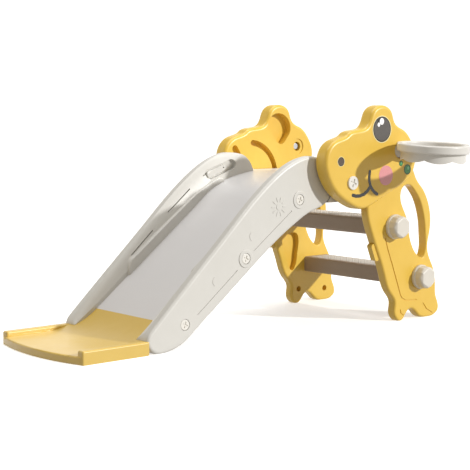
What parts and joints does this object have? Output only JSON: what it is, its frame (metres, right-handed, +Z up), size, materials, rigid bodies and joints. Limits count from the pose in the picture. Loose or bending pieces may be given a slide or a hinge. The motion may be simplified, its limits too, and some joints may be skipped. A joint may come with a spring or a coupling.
{
  "type": "toddler slide",
  "caption": "Low folding toddler slide: two frog-shaped side panels with two steps, a grey bed between white rails and a play hoop.",
  "frame": {"origin": "middle of the whole slide's footprint, on the floor", "axes": "+X runs from the toe of the chute to the ladder, +Y to the slide's right side, away from the hoop, +Z up"},
  "size_m": [1.2608, 0.7302, 0.62],
  "materials": {
    "panel_yellow": "satin, blow moulded",
    "rail_white": "satin, blow moulded",
    "bed_grey": "polished by use",
    "toe_yellow": "satin",
    "step_taupe": "satin, textured tread",
    "nut_white": "satin",
    "hoop_white": "satin",
    "cap_white": "satin screw heads and plugs",
    "acetal": "satin",
    "steel": "zinc plated",
    "print_black": "gloss print",
    "print_pink": "gloss print",
    "print_green": "gloss print"
  },
  "bodies": {
    "frame": {"left_side_panel": "panel_yellow", "right_side_panel": "panel_yellow", "upper_step": "step_taupe", "lower_step": "step_taupe", "left_upper_hand_nut": "nut_white", "left_lower_hand_nut": "nut_white", "left_pivot_screw": "cap_white", "left_pivot_washer": "acetal", "left_eye_sticker": "print_black", "left_nostril_sticker": "print_black", "left_mouth_sticker": "print_black", "left_cheek_sticker": "print_pink", "left_leaf_stickers": "print_green", "right_upper_hand_nut": "nut_white", "right_lower_hand_nut": "nut_white", "right_pivot_screw": "cap_white", "right_pivot_washer": "acetal", "right_eye_sticker": "print_black", "right_nostril_sticker": "print_black", "right_mouth_sticker": "print_black", "right_cheek_sticker": "print_pink", "right_leaf_stickers": "print_green", "hoop_rim": "hoop_white", "hoop_skirt": "hoop_white", "hoop_arm": "hoop_white", "hoop_bolt": "steel", "right_cap_bolt": "steel", "right_accessory_cap": "hoop_white"},
    "chute": {"chute_bed": "bed_grey", "run_out": "toe_yellow", "left_rail": "rail_white", "left_rail_screws": "cap_white", "left_pivot_bush": "acetal", "left_guide_pin": "steel", "right_rail": "rail_white", "right_rail_screws": "cap_white", "right_pivot_bush": "acetal", "right_guide_pin": "steel"}
  },
  "joints": [
    {"name": "chute_fold", "type": "hinge", "parent": "frame", "child": "chute", "pos_m": [0.25761, 0.09512, 0.407], "axis": [0, -1, 0], "range_deg": [0, 80]}
  ]
}
